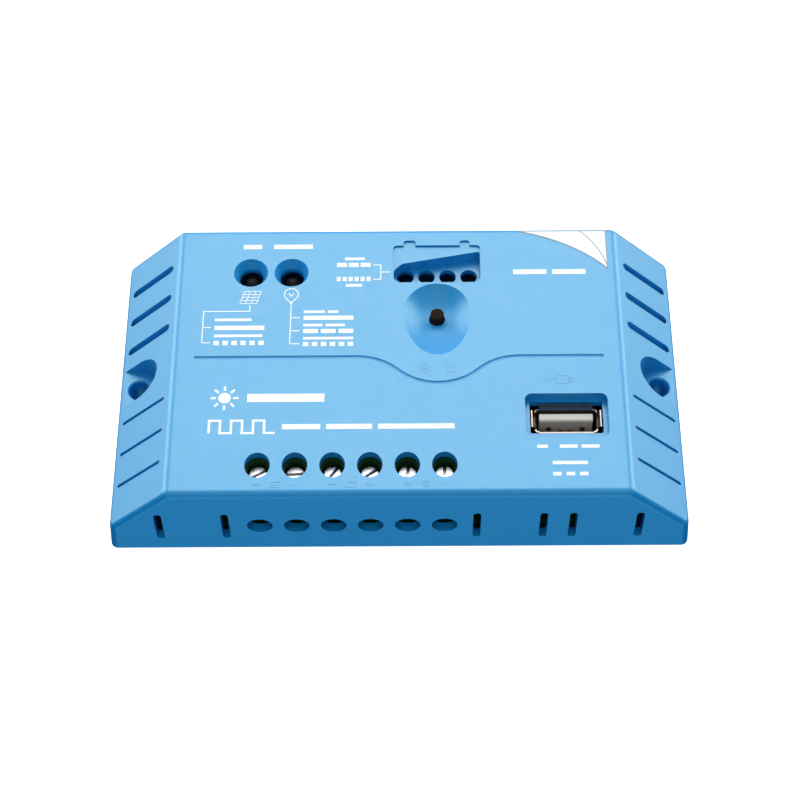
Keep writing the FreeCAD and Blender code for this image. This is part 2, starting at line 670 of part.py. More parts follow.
def usb_contacts():
    """Four gilt strips on the front of the tongue, the outer two longer."""
    y = TONGUE_Y - TONGUE[1] / 2 - 0.1
    strips = [block(USB_X + x, y, 1.0, 0.2, (BOARD_TOP + 3, top)) for x, top in USB_CONTACTS]
    return Part.makeCompound(strips)


def switch_body():
    """The square base of the push switch, hollow for its plunger and snap dome."""
    body = block(BUTTON_X, BUTTON_Y, SWITCH_SIZE, SWITCH_SIZE, (BOARD_TOP, SWITCH_TOP - SWITCH_SHEET))
    body = body.makeFillet(0.4, upright_edges(body))
    return body.cut(rod(2.5, BUTTON_X, BUTTON_Y, (SWITCH_FLOOR, SWITCH_TOP)))


def switch_plate():
    """The steel plate that holds the plunger in, with a tab down two sides."""
    plate = block(BUTTON_X, BUTTON_Y, SWITCH_SIZE, SWITCH_SIZE, (SWITCH_TOP - SWITCH_SHEET, SWITCH_TOP))
    for side in (-1, 1):
        x = BUTTON_X + side * (SWITCH_SIZE / 2 + 0.125)
        plate = plate.fuse(block(x, BUTTON_Y, 0.25, 3.0, (BOARD_TOP + 0.5, SWITCH_TOP)))
    hole = rod(BUTTON_R + 0.3, BUTTON_X, BUTTON_Y, (SWITCH_TOP - 1, SWITCH_TOP + 1))
    return plate.cut(hole).removeSplitter()


def switch_dome():
    """The steel snap dome under the plunger."""
    rim = BUTTON_X + 2.2
    start = Vector(rim, BUTTON_Y, SWITCH_FLOOR)
    foot = Vector(rim, BUTTON_Y, SWITCH_FLOOR + DOME_SHEET)
    apex = Vector(BUTTON_X, BUTTON_Y, SWITCH_FLOOR + DOME_RISE)
    crown = apex + UP * DOME_SHEET
    edges = [arc_to_axis(start, apex), Part.LineSegment(apex, crown).toShape(),
             arc_to_axis(foot, crown), Part.LineSegment(foot, start).toShape()]
    section = Part.Face(Part.Wire(Part.__sortEdges__(edges)))
    return section.revolve(Vector(BUTTON_X, BUTTON_Y, 0), UP, 360)


def arc_to_axis(rim, apex):
    """A shallow arc from rim up to apex, level at the apex."""
    mirrored = Vector(2 * apex.x - rim.x, rim.y, rim.z)
    circle = Part.Arc(rim, apex, mirrored)
    quarter = (circle.FirstParameter * 3 + circle.LastParameter) / 4
    return Part.Arc(rim, circle.value(quarter), apex).toShape()


def button_plunger():
    """The long black stem that comes up through the dimple, with a flange inside the switch."""
    stem = rod(BUTTON_R, BUTTON_X, BUTTON_Y, (FLANGE_Z, BUTTON_TOP))
    stem = stem.makeFillet(0.25, [e for e in stem.Edges if e.BoundBox.ZMin > BUTTON_TOP - 0.1])
    return stem.fuse(rod(2.15, BUTTON_X, BUTTON_Y, (FLANGE_Z, FLANGE_Z + 0.6))).removeSplitter()


def led_places():
    """Each lamp's x, y and the height of its tip."""
    places = [(x, LAMP_Y, LED_TIP) for x in LAMP_X]
    return places + [(LEVEL_X + n * LEVEL_PITCH, LEVEL_Y, LEVEL_LED_TIP) for n in range(LEVELS)]


def led_lens(x, y, tip):
    """A 3 mm lamp: domed cylinder with a flange at its foot."""
    foot = tip - LED_HEIGHT
    barrel = rod(LED_R, x, y, (foot, tip - LED_R))
    dome = Part.makeSphere(LED_R, Vector(x, y, tip - LED_R), UP, 0, 90, 360)
    flange = rod(LED_R + 0.35, x, y, (foot, foot + 1.0))
    return barrel.fuse([dome, flange]).removeSplitter()


def led_leads():
    """Two square wires under each lamp, through the board."""
    leads = []
    for x, y, tip in led_places():
        for side in (-1, 1):
            leads.append(block(x + side * LED_LEAD_GAP, y, 2 * LED_LEAD, 2 * LED_LEAD,
                               (PIN_BOTTOM, tip - LED_HEIGHT)))
    return Part.makeCompound(leads)


def capacitor(x, y, radius, height):
    """A radial electrolytic can with a crimp groove near its foot."""
    base = BOARD_TOP
    can = rod(radius, x, y, (base, base + height))
    can = can.makeFillet(0.5, [e for e in can.Edges if e.BoundBox.ZMin > base + height - 0.1])
    ring = Part.makeTorus(radius + 0.25, 0.6, Vector(x, y, base + 1.8), UP)
    return can.cut(ring)


def transistor_bodies():
    """The plastic bodies of the power transistors, each lying on its tab."""
    size_x, size_y, height = TRANSISTOR_BODY
    low = BOARD_TOP + TRANSISTOR_TAB[2]
    bodies = []
    for x in TRANSISTOR_X:
        body = block(x, TRANSISTOR_Y, size_x, size_y, (low, low + height))
        bodies.append(body.makeChamfer(0.5, [e for e in body.Edges if e.BoundBox.ZMin > low + 1]))
    return Part.makeCompound(bodies)


def transistor_tabs():
    """The tinned tabs under the bodies, and three legs to each."""
    size_x, size_y, sheet = TRANSISTOR_TAB
    leg_x, leg_y = TRANSISTOR_LEG
    z = (BOARD_TOP, BOARD_TOP + sheet)
    front = TRANSISTOR_Y - TRANSISTOR_BODY[1] / 2
    pieces = []
    for x in TRANSISTOR_X:
        pieces.append(block(x, front + 2.6 + size_y / 2, size_x, size_y, z))
        for side in (-1, 0, 1):
            pieces.append(block(x + side * TRANSISTOR_LEG_PITCH, front - leg_y / 2, leg_x, leg_y, z))
    return Part.makeCompound(pieces)


def power_inductor():
    """The shielded coil of the 5 V converter."""
    x, y = INDUCTOR_PLACE
    top = BOARD_TOP + INDUCTOR_H
    body = block(x, y, INDUCTOR_SIZE, INDUCTOR_SIZE, (BOARD_TOP, top))
    body = body.makeChamfer(1.2, upright_edges(body))
    ring = rod(2.9, x, y, (top - 0.4, top + 1)).cut(rod(2.4, x, y, (top - 1, top + 2)))
    return body.cut(ring)


def chip(x, y, size_x, size_y, height, pins):
    """A moulded chip and its gull-wing pins along both long sides: body, list of pins."""
    foot = BOARD_TOP + 0.15
    body = block(x, y, size_x, size_y, (foot, foot + height))
    body = body.makeChamfer(0.25, [e for e in body.Edges if e.BoundBox.ZMin > foot + height - 0.1])
    legs = []
    for n in range(pins):
        px = x + (n - (pins - 1) / 2) * CHIP_PIN_PITCH
        for side in (-1, 1):
            near = y + side * (size_y / 2)
            shoulder = block(px, near + side * 0.2, 0.4, 0.4, (BOARD_TOP, foot + height / 2))
            toe = block(px, near + side * 0.7, 0.4, 0.6, (BOARD_TOP, BOARD_TOP + 0.2))
            legs.append(shoulder.fuse(toe).removeSplitter())
    return body, legs


def controller_chip():
    return chip(*CHIPS[0])[0]


def small_chips():
    return Part.makeCompound([chip(*place)[0] for place in CHIPS[1:]])


def chip_pins():
    pins = []
    for place in CHIPS:
        pins += chip(*place)[1]
    return Part.makeCompound(pins)


def current_shunt():
    """A flat metal resistor that carries the battery current."""
    x, y = SHUNT_PLACE
    size_x, size_y = SHUNT_SIZE
    foot = 1.0
    strip = block(x, y, size_x, size_y, (BOARD_TOP + 0.4, BOARD_TOP + 0.9))
    reach = (size_x - foot) / 2
    feet = [block(x + side * reach, y, foot, size_y, (BOARD_TOP, BOARD_TOP + 0.9)) for side in (-1, 1)]
    return strip.fuse(feet).removeSplitter()


def power_diodes():
    """Two moulded rectifiers, one at each end of the terminal block."""
    size_x, size_y, height = DIODE_SIZE
    bodies = []
    for x, y in DIODE_PLACES:
        body = block(x, y, size_x, size_y, (BOARD_TOP, BOARD_TOP + height))
        bodies.append(body.makeChamfer(0.3, [e for e in body.Edges if e.BoundBox.ZMin > BOARD_TOP + 1]))
    return Part.makeCompound(bodies)


def chip_resistors():
    """Rows of small surface-mounted resistors and ceramic capacitors, every other row shifted."""
    size_x, size_y, height = RESISTOR_SIZE
    parts = []
    for row, y in enumerate(RESISTOR_ROWS):
        shift = row % 2 * RESISTOR_PITCH / 4
        for n in range(RESISTORS_IN_ROW):
            x = RESISTOR_X + n * RESISTOR_PITCH + shift
            parts.append(block(x, y, size_x, size_y, (BOARD_TOP, BOARD_TOP + height)))
    return Part.makeCompound(parts)


# ---------------------------------------------------------------- one file for each piece

os.makedirs("parts", exist_ok=True)

SINGLE_PIECES = (top_cover, base_plate, case_screws, circuit_board, board_screws, terminal_housing,
                 terminal_contacts, usb_shell, usb_tongue, usb_contacts, switch_body, switch_plate,
                 switch_dome, button_plunger, led_leads, transistor_bodies, transistor_tabs,
                 power_inductor, controller_chip, small_chips, chip_pins, current_shunt, power_diodes,
                 chip_resistors)
for piece in SINGLE_PIECES:
    save(piece(), piece.__name__)

for pole_number in range(POLES):
    save(terminal_screw(pole_number), "terminal_screw_%d" % (pole_number + 1))
    save(clamp_cage(pole_number), "clamp_cage_%d" % (pole_number + 1))

LED_NAMES = ["solar_led", "load_led"] + ["battery_led_%d" % (n + 1) for n in range(LEVELS)]
for name, place in zip(LED_NAMES, led_places()):
    save(led_lens(*place), name)

for name, cap_x, cap_y, cap_radius, cap_height in CAPACITORS:
    save(capacitor(cap_x, cap_y, cap_radius, cap_height), name)
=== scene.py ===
import json
from math import cos, pi, radians, sin

import bmesh
import bpy
from mathutils import Matrix, Vector
from mathutils.bvhtree import BVHTree


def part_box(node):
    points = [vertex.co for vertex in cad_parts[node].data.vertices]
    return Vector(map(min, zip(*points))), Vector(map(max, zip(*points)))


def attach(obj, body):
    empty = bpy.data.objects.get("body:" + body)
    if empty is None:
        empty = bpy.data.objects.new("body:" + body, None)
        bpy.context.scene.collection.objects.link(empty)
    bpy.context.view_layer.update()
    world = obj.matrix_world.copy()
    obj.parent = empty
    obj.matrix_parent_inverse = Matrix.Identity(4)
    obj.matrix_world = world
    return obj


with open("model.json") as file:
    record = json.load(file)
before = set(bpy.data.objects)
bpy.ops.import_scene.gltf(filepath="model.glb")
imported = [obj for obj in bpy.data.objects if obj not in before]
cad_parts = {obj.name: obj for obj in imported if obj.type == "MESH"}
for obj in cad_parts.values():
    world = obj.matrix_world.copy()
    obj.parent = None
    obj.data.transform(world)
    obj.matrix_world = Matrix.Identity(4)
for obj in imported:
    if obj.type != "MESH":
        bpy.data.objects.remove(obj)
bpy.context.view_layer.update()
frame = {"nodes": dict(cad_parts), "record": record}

MM = 0.001
nodes = frame["nodes"]
record = frame["record"]


# ---------------------------------------------------------------- places, from the frame

def middle(node):
    """The centre of a CAD node's box at rest, in millimetres."""
    low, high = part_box(node)
    return (low + high) / 2 / MM


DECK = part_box("top_cover")[1].z / MM
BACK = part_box("top_cover")[1].y / MM
SOLAR = middle("solar_led")
LOAD = middle("load_led")
LEVEL = middle("battery_led_1")
BUTTON = middle("button_plunger")
USB = middle("usb_shell")
SCREWS = [middle("terminal_screw_%d" % n) for n in range(1, 7)]


# ---------------------------------------------------------------- materials

def start_material(name):
    """A new node material: its tree, its Principled shader and object coordinates in metres."""
    mat = bpy.data.materials.new(name)
    mat.use_nodes = True
    tree = mat.node_tree
    shader = tree.nodes["Principled BSDF"]
    place = tree.nodes.new("ShaderNodeTexCoord").outputs["Object"]
    return mat, tree, shader, place


def noise(tree, place, grain_mm, detail=3.0, stretch=(1, 1, 1)):
    """Noise whose grain is about grain_mm wide, drawn out along an axis by stretch."""
    mapping = tree.nodes.new("ShaderNodeMapping")
    mapping.inputs["Scale"].default_value = [1 / (grain_mm * MM * s) for s in stretch]
    tree.links.new(place, mapping.inputs["Vector"])
    node = tree.nodes.new("ShaderNodeTexNoise")
    node.inputs["Scale"].default_value = 1.0
    node.inputs["Detail"].default_value = detail
    tree.links.new(mapping.outputs["Vector"], node.inputs["Vector"])
    return node.outputs["Fac"]


def ramp(tree, value, stops):
    """A colour ramp with (position, colour) stops."""
    node = tree.nodes.new("ShaderNodeValToRGB")
    while len(node.color_ramp.elements) < len(stops):
        node.color_ramp.elements.new(0.5)
    for element, (position, colour) in zip(node.color_ramp.elements, stops):
        element.position = position
        element.color = (*colour, 1)
    tree.links.new(value, node.inputs["Fac"])
    return node.outputs["Color"]


def to_range(tree, value, low, high, span=(0.3, 0.7)):
    """Values within span stretched to low..high, and held at those limits outside it."""
    node = tree.nodes.new("ShaderNodeMapRange")
    node.inputs["From Min"].default_value = span[0]
    node.inputs["From Max"].default_value = span[1]
    node.inputs["To Min"].default_value = low
    node.inputs["To Max"].default_value = high
    tree.links.new(value, node.inputs["Value"])
    return node.outputs["Result"]


def bump(tree, shader, height, depth_mm):
    """Relief of depth_mm where height goes from 0 to 1."""
    node = tree.nodes.new("ShaderNodeBump")
    node.inputs["Distance"].default_value = depth_mm * MM
    tree.links.new(height, node.inputs["Height"])
    tree.links.new(node.outputs["Normal"], shader.inputs["Normal"])


def shade(colour, factor):
    """A colour made darker or lighter."""
    return tuple(min(1.0, c * factor) for c in colour)


GLOSS_SPREAD = 0.05        # how far a moulded face's roughness wanders from its mean


def moulded(name, colour, roughness, grain_mm=0.22, depth_mm=0.012, variation=0.05, specular=0.5,
            tint=(1, 1, 1), coat=0.0):
    """Moulded plastic: cloudy colour, spark-eroded grain and uneven gloss in the colour of tint."""
    mat, tree, shader, place = start_material(name)
    cloud = noise(tree, place, 9.0, 2.0)
    stops = ((0.3, shade(colour, 1 - variation)), (0.7, shade(colour, 1 + variation)))
    tree.links.new(ramp(tree, cloud, stops), shader.inputs["Base Color"])
    gloss = noise(tree, place, 1.6, 4.0)
    uneven = to_range(tree, gloss, roughness - GLOSS_SPREAD, roughness + GLOSS_SPREAD)
    tree.links.new(uneven, shader.inputs["Roughness"])
    bump(tree, shader, noise(tree, place, grain_mm, 2.5), depth_mm)
    shader.inputs["Specular IOR Level"].default_value = specular
    shader.inputs["Specular Tint"].default_value = (*tint, 1)
    shader.inputs["Coat Weight"].default_value = coat
    shader.inputs["Coat Roughness"].default_value = roughness
    return mat


def metal(name, colour, roughness, stretch=(1, 1, 1), grain_mm=0.25, depth_mm=0.004):
    """Plated or rolled metal: fine marks, drawn out along the rolling direction, and dull patches."""
    mat, tree, shader, place = start_material(name)
    marks = noise(tree, place, grain_mm, 4.0, stretch)
    stops = ((0.25, shade(colour, 0.8)), (0.6, colour), (0.8, shade(colour, 1.08)))
    tree.links.new(ramp(tree, marks, stops), shader.inputs["Base Color"])
    dull = noise(tree, place, 1.2, 3.0)
    tree.links.new(to_range(tree, dull, roughness * 0.7, roughness * 1.35), shader.inputs["Roughness"])
    bump(tree, shader, marks, depth_mm)
    shader.inputs["Metallic"].default_value = 1.0
    return mat


def board_material_with_painted_shade():
    """Green solder mask over copper tracks, which show as paler, slightly raised lines; all its colours
    are darkened far below a lit board's, as painted shade for the inside of the case.
    """
    mat, tree, shader, place = start_material("board_green")
    mapping = tree.nodes.new("ShaderNodeMapping")
    mapping.inputs["Scale"].default_value = (1 / MM, 1 / MM, 1 / MM)
    tree.links.new(place, mapping.inputs["Vector"])
    tracks = tree.nodes.new("ShaderNodeTexBrick")
    tracks.inputs["Scale"].default_value = 0.28
    tracks.inputs["Mortar Size"].default_value = 0.045
    tracks.inputs["Mortar Smooth"].default_value = 0.2
    # Painted shade: the mask and track colours are darkened to near black so the board reads as the
    # shaded inside of the case.
    tracks.inputs["Color1"].default_value = (0.003, 0.026, 0.010, 1)
    tracks.inputs["Color2"].default_value = (0.004, 0.034, 0.013, 1)
    tracks.inputs["Mortar"].default_value = (0.010, 0.075, 0.030, 1)
    tree.links.new(mapping.outputs["Vector"], tracks.inputs["Vector"])
    tree.links.new(tracks.outputs["Color"], shader.inputs["Base Color"])
    bump(tree, shader, tracks.outputs["Fac"], 0.03)
    gloss = noise(tree, place, 2.0)
    tree.links.new(to_range(tree, gloss, 0.22, 0.4), shader.inputs["Roughness"])
    return mat


def lens_material():
    """Unlit lamp resin: nearly black, with a dull sheen and faint moulding swirls."""
    mat, tree, shader, place = start_material("lamp_lens")
    swirl = noise(tree, place, 0.9, 2.0)
    stops = ((0.3, (0.010, 0.008, 0.007)), (0.7, (0.022, 0.018, 0.014)))
    tree.links.new(ramp(tree, swirl, stops), shader.inputs["Base Color"])
    tree.links.new(to_range(tree, swirl, 0.4, 0.5), shader.inputs["Roughness"])
    shader.inputs["Specular IOR Level"].default_value = 0.15
    bump(tree, shader, swirl, 0.01)
    return mat


def can_material():
    """A shrink sleeve round the can, and its bare aluminium top."""
    mat, tree, shader, place = start_material("can_sleeve")
    facing = tree.nodes.new("ShaderNodeNewGeometry").outputs["Normal"]
    split = tree.nodes.new("ShaderNodeSeparateXYZ")
    tree.links.new(facing, split.inputs["Vector"])
    top = to_range(tree, split.outputs["Z"], 0.0, 1.0, (0.9, 0.95))
    cloud = noise(tree, place, 2.0)
    sleeve = ramp(tree, cloud, ((0.3, (0.008, 0.012, 0.035)), (0.7, (0.014, 0.02, 0.055))))
    bare = ramp(tree, cloud, ((0.3, (0.62, 0.62, 0.63)), (0.7, (0.78, 0.78, 0.79))))
    mix = tree.nodes.new("ShaderNodeMix")
    mix.data_type = "RGBA"
    tree.links.new(top, mix.inputs["Factor"])
    tree.links.new(sleeve, mix.inputs["A"])
    tree.links.new(bare, mix.inputs["B"])
    tree.links.new(mix.outputs["Result"], shader.inputs["Base Color"])
    tree.links.new(top, shader.inputs["Metallic"])
    tree.links.new(to_range(tree, cloud, 0.25, 0.38), shader.inputs["Roughness"])
    bump(tree, shader, cloud, 0.01)
    return mat


def ink(name, colour):
    """Pad-printed ink: slightly uneven, a little rougher than the plastic under it."""
    mat, tree, shader, place = start_material(name)
    speck = noise(tree, place, 0.35, 4.0)
    stops = ((0.3, shade(colour, 0.93)), (0.55, colour))
    tree.links.new(ramp(tree, speck, stops), shader.inputs["Base Color"])
    tree.links.new(to_range(tree, speck, 0.45, 0.6), shader.inputs["Roughness"])
    bump(tree, shader, speck, 0.006)
    return mat


CASE_BLUE = (0.006, 0.255, 0.630)
SHEEN = (0.76, 1.0, 0.62)  # the colour that the case's reflections take on
SLOT_MATERIALS = {
    "case_plastic": moulded("case_plastic", CASE_BLUE, 0.36, 0.35, 0.016, variation=0.015,
                            specular=0.9, tint=SHEEN, coat=0.6),
    # Painted shade: the base plate's blue is cut to 0.4 of the case's so the inside of the case reads
    # dark through the slots and holes.
    "base_plastic": moulded("base_plastic", shade(CASE_BLUE, 0.4), 0.5, 0.35, 0.016, variation=0.03,
                            specular=0.6, tint=SHEEN),
    "screw_steel": metal("screw_steel", (0.62, 0.62, 0.63), 0.32),
    "terminal_screw_steel": metal("terminal_screw_steel", (0.62, 0.61, 0.64), 0.26, grain_mm=0.4),
    "board_green": board_material_with_painted_shade(),
    # Painted shade: the terminal blocks' green is darkened to near black for the shade they sit in
    # inside the case.
    "terminal_green": moulded("terminal_green", (0.008, 0.040, 0.006), 0.45, variation=0.1,
                              specular=0.25),
    "tinned_copper": metal("tinned_copper", (0.74, 0.72, 0.69), 0.35),
    "plated_cage": metal("plated_cage", (0.66, 0.64, 0.60), 0.3, (1, 1, 6)),
    # Painted shade and reflection: the socket's steel is darkened and browned from bright plating, so
    # its inside and back lip look as if they mirror dark surroundings.
    "usb_steel": metal("usb_steel", (0.33, 0.27, 0.24), 0.2, (1, 1, 6), grain_mm=0.5, depth_mm=0.001),
    "usb_white": moulded("usb_white", (0.62, 0.58, 0.53), 0.4, 0.1),
    "gilt": metal("gilt", (0.60, 0.44, 0.24), 0.3, (1, 1, 5)),
    "black_plastic": moulded("black_plastic", (0.012, 0.011, 0.011), 0.45, variation=0.2),
    "switch_steel": metal("switch_steel", (0.58, 0.58, 0.58), 0.3, (1, 6, 1)),
    "button_black": moulded("button_black", (0.016, 0.009, 0.006), 0.7, 0.15, 0.03, variation=0.3,
                            specular=0.08),
    "lamp_lens": lens_material(),
    "chip_black": moulded("chip_black", (0.018, 0.018, 0.020), 0.55, 0.12, variation=0.15),
    "can_sleeve": can_material(),
    "ferrite": moulded("ferrite", (0.06, 0.06, 0.065), 0.6, 0.3, variation=0.15),
    "ceramic": moulded("ceramic", (0.30, 0.20, 0.12), 0.5, 0.1, variation=0.2),
}
WHITE_INK = ink("white_ink", (0.86, 0.88, 0.90))
PALE_INK = ink("pale_ink", (0.84, 0.86, 0.89))
GREY_INK = ink("grey_ink", (0.30, 0.33, 0.38))


def dress_cad_nodes():
    """Every CAD node takes the finish of its slot in the record."""
    for part in record["subparts"]:
        piece = nodes[part["node"]]
        piece.data.materials.clear()
        piece.data.materials.append(SLOT_MATERIALS[part["material_slot"]])


# ---------------------------------------------------------------- flat work on the deck, in millimetres

PRINT_HEIGHT = 0.02        # how far the ink stands over the deck
RELIEF_HEIGHT = 0.05       # how far the moulded marks stand over it
SUNK = 0.01                # how deep both go into it
LINK = 0.22                # stroke of the lines that link the legends
SYMBOL = 0.2               # stroke of the bulb and of the moulded marks
GRID = 0.17                # stroke of the panel's cells
EMBLEM = 0.5               # stroke of the sun's rays and of the square wave
STRIP_FILL = 0.5           # share of a row's height that its plain strips fill
STRIP_GAP = 0.5            # gap between two strips, as a share of the row's height
LAMP_ROW = 2.3             # row over each lamp
NOTE = 1.35                # rows beside the first lamp and the window
LOAD_NOTE = 1.3            # rows beside the second lamp
RATING = 1.55              # row under the outlet


class Sheet:
    """Flat shapes in millimetres, gathered into one thin closed mesh on the deck."""

    def __init__(self, thickness):
        self.mesh = bmesh.new()
        self.low = (DECK - SUNK) * MM
        self.high = (DECK + thickness) * MM

    def face(self, points):
        """A convex outline, anticlockwise from above, made into a thin slab."""
        low = [self.mesh.verts.new((x * MM, y * MM, self.low)) for x, y in points]
        high = [self.mesh.verts.new((x * MM, y * MM, self.high)) for x, y in points]
        count = len(points)
        self.mesh.faces.new(high)
        self.mesh.faces.new(low[::-1])
        for n in range(count):
            after = (n + 1) % count
            self.mesh.faces.new((low[n], low[after], high[after], high[n]))

    def bar(self, x0, x1, y0, y1):
        """A filled rectangle."""
        self.face(((x0, y0), (x1, y0), (x1, y1), (x0, y1)))

    def line(self, points, width):
        """A stroked line with mitred corners."""
        path = [Vector(p) for p in points]
        left = []
        right = []
        for n, point in enumerate(path):
            before = path[max(n - 1, 0)]
            after = path[min(n + 1, len(path) - 1)]
            first = (point - before).normalized() if n else (after - point).normalized()
            last = (after - point).normalized() if n < len(path) - 1 else first
            side = Vector((-first.y, first.x)) + Vector((-last.y, last.x))
            side = side.normalized() * (width / 2 / max(0.3, side.length / 2))
            left.append(point + side)
            right.append(point - side)
        for n in range(len(path) - 1):
            self.face((right[n], right[n + 1], left[n + 1], left[n]))

    def dashes(self, x0, x1, y0, y1, count, gap):
        """A row of equal dashes between x0 and x1."""
        length = (x1 - x0 - gap * (count - 1)) / count
        for n in range(count):
            start = x0 + n * (length + gap)
            self.bar(start, start + length, y0, y1)

    def ring(self, x, y, radius, width, start, end, steps=24):
        """An arc from start to end, in degrees, drawn with a stroke."""
        angles = [radians(start + (end - start) * n / steps) for n in range(steps + 1)]
        inner = [(x + (radius - width / 2) * cos(a), y + (radius - width / 2) * sin(a)) for a in angles]
        outer = [(x + (radius + width / 2) * cos(a), y + (radius + width / 2) * sin(a)) for a in angles]
        for n in range(steps):
            self.face((inner[n], outer[n], outer[n + 1], inner[n + 1]))

    def disc(self, x, y, radius, steps=20):
        """A filled circle."""
        self.face([(x + radius * cos(2 * pi * n / steps), y + radius * sin(2 * pi * n / steps))
                   for n in range(steps)])

    def strips(self, shares, x0, x1, base, row):
        """Plain strips between x0 and x1, in place of a line of words: one for each share."""
        gap = row * STRIP_GAP
        unit = (x1 - x0 - gap * (len(shares) - 1)) / sum(shares)
        low = base + row * (1 - STRIP_FILL) / 2
        start = x0
        for share in shares:
            self.bar(start, start + share * unit, low, low + row * STRIP_FILL)
            start += share * unit + gap

    def finish(self, name, material):
        """The gathered shapes as one piece on the case."""
        bmesh.ops.recalc_face_normals(self.mesh, faces=self.mesh.faces)
        data = bpy.data.meshes.new(name)
        self.mesh.to_mesh(data)
        self.mesh.free()
        piece = bpy.data.objects.new(name, data)
        bpy.context.scene.collection.objects.link(piece)
        data.materials.append(material)
        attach(piece, "case")


def print_lamp_legends(sheet):
    """A strip over each of the two lamps and a symbol under it."""
    sheet.strips((1,), SOLAR.x - 1.85, SOLAR.x + 2.15, SOLAR.y + 5.75, LAMP_ROW)
    sheet.strips((1,), LOAD.x - 4.0, LOAD.x + 4.45, LOAD.y + 5.75, LAMP_ROW)
    panel_symbol(sheet, SOLAR.x - 2.1, SOLAR.y - 8.1, 3.6, 3.2, 0.9)
    lamp_symbol(sheet, LOAD.x + 0.1, LOAD.y - 5.75, 1.5)
    print_solar_notes(sheet, SOLAR.x, SOLAR.y)
    print_load_notes(sheet, LOAD.x, SOLAR.y)


def print_solar_notes(sheet, x, y):
    """What each way of blinking means, for the solar lamp at (x, y)."""
    rail = x - 9.75
    text = x - 7.2
    stroke_end = x + 3.35
    sheet.line(((x + 0.1, y - 8.6), (x + 0.1, y - 10.1), (x - 9.7, y - 10.1), (rail, y - 18.1)), LINK)
    for tick in (14.2, 18.1):
        sheet.line(((rail, y - tick), (x - 8.0, y - tick)), LINK)
    sheet.strips((1,), text, x + 0.55, y - 12.95, NOTE)
    sheet.bar(text, stroke_end, y - 14.9, y - 13.8)
    sheet.strips((1,), text, x + 3.0, y - 17.05, NOTE)
    sheet.dashes(x - 7.25, stroke_end, y - 18.75, y - 17.65, 6, 0.75)


def print_load_notes(sheet, x, y):
    """What each way of blinking means, for the load lamp at (x, y)."""
    text = x + 2.85
    stroke_end = x + 13.45
    sheet.line(((x + 0.14, y - 8.6), (x + 0.05, y - 18.5)), LINK)
    for tick in (11.85, 15.2, 18.5):
        sheet.line(((x + 0.08, y - tick), (x + 2.1, y - tick)), LINK)
    sheet.strips((4, 2), text, text + 7.4, y - 10.95, LOAD_NOTE)
    sheet.strips((4, 4), text, text + 8.8, y - 14.4, LOAD_NOTE)
    sheet.strips((1,), text, text + 10.6, y - 17.75, LOAD_NOTE)
    sheet.bar(text, stroke_end, y - 12.4, y - 11.35)
    sheet.dashes(text, stroke_end, y - 15.8, y - 14.75, 3, 0.6)
    sheet.dashes(text, stroke_end, y - 19.1, y - 18.05, 6, 0.75)


def panel_symbol(sheet, x, y, width, height, lean):
    """A leaning panel of three by four cells."""
    for row in range(5):
        part = row / 4
        start = x + lean * part
        sheet.line(((start, y + height * part), (start + width, y + height * part)), GRID)
    for column in range(4):
        start = x + width * column / 3
        sheet.line(((start, y), (start + lean, y + height)), GRID)


def lamp_symbol(sheet, x, y, radius):
    """A bulb: most of a ring, drawn in to a solid cap, round a filament."""
    sheet.ring(x, y, radius, SYMBOL, -40, 220)
    for side in (-1, 1):
        shoulder = (x + side * radius * 0.77, y - radius * 0.64)
        sheet.line((shoulder, (x + side * 0.35, y - radius * 1.3)), SYMBOL)
        sheet.line(((x + side * 0.55, y + 0.3), (x, y - 0.6)), SYMBOL)
    sheet.face(((x - 0.5, y - radius * 1.2), (x, y - radius * 1.85), (x + 0.5, y - radius * 1.2)))


def print_level_legend(sheet):
    """The two ways that the battery lamps blink, bracketed to the window."""
    x = LEVEL.x
    y = LEVEL.y
    sheet.strips((1,), x - 13.05, x - 8.75, y + 1.85, NOTE)
    sheet.dashes(x - 14.75, x - 7.5, y + 0.35, y + 1.45, 3, 0.4)
    sheet.dashes(x - 14.75, x - 7.5, y - 3.4, y - 2.3, 6, 0.42)
    sheet.strips((1,), x - 12.75, x - 9.3, y - 5.2, NOTE)
    tips = x - 6.9
    spine = x - 5.3
    sheet.line(((tips, y + 0.85), (spine, y + 0.85), (spine, y - 2.95), (tips, y - 2.95)), LINK)
    sheet.line(((spine, y - 1.05), (x - 3.25, y - 1.05)), LINK)


def print_titles(sheet):
    """Strips where a title and ratings would be, and a sun and a square wave beside them."""
    left = SOLAR.x - 7.2
    sun_symbol(sheet, left + 2.9, USB.y + 3.7, 2.9)
    sheet.strips((1,), left + 7.6, left + 23.6, USB.y + 1.7, 4.0)
    pulse_symbol(sheet, left, left + 13.6, USB.y - 4.8, 3.0)
    sheet.strips((5, 6, 10), left + 15.0, left + 50.4, USB.y - 4.55, 2.45)
    sheet.strips((1, 1), USB.x - 10.0, USB.x + 5.6, BACK - 13.2, 2.5)
    sheet.strips((1,), USB.x - 6.5, USB.x - 4.3, USB.y - 9.1, RATING)
    sheet.strips((1, 1), USB.x - 1.9, USB.x + 6.2, USB.y - 9.1, RATING)
    direct_current_symbol(sheet, USB.x - 3.5, USB.x + 3.6, USB.y - 15.2)


def direct_current_symbol(sheet, x0, x1, y):
    """A whole stroke over three dashes."""
    stroke = 0.8
    rise = 2.6
    sheet.bar(x0, x1, y + rise, y + rise + stroke)
    sheet.dashes(x0, x1, y, y + stroke, 3, 1.0)


def sun_symbol(sheet, x, y, reach):
    """A disc with eight rays."""
    sheet.disc(x, y, reach * 0.45)
    for n in range(8):
        angle = pi / 4 * n
        near = Vector((x + reach * 0.62 * cos(angle), y + reach * 0.62 * sin(angle)))
        far = Vector((x + reach * cos(angle), y + reach * sin(angle)))
        sheet.line((near, far), EMBLEM)


def pulse_symbol(sheet, x0, x1, y, height):
    """A square wave of three pulses."""
    step = (x1 - x0) / 6
    points = [(x0, y)]
    for n in range(6):
        level = y + height if n % 2 == 0 else y
        points.append((x0 + n * step, level))
        points.append((x0 + (n + 1) * step, level))
    sheet.line(points, EMBLEM)


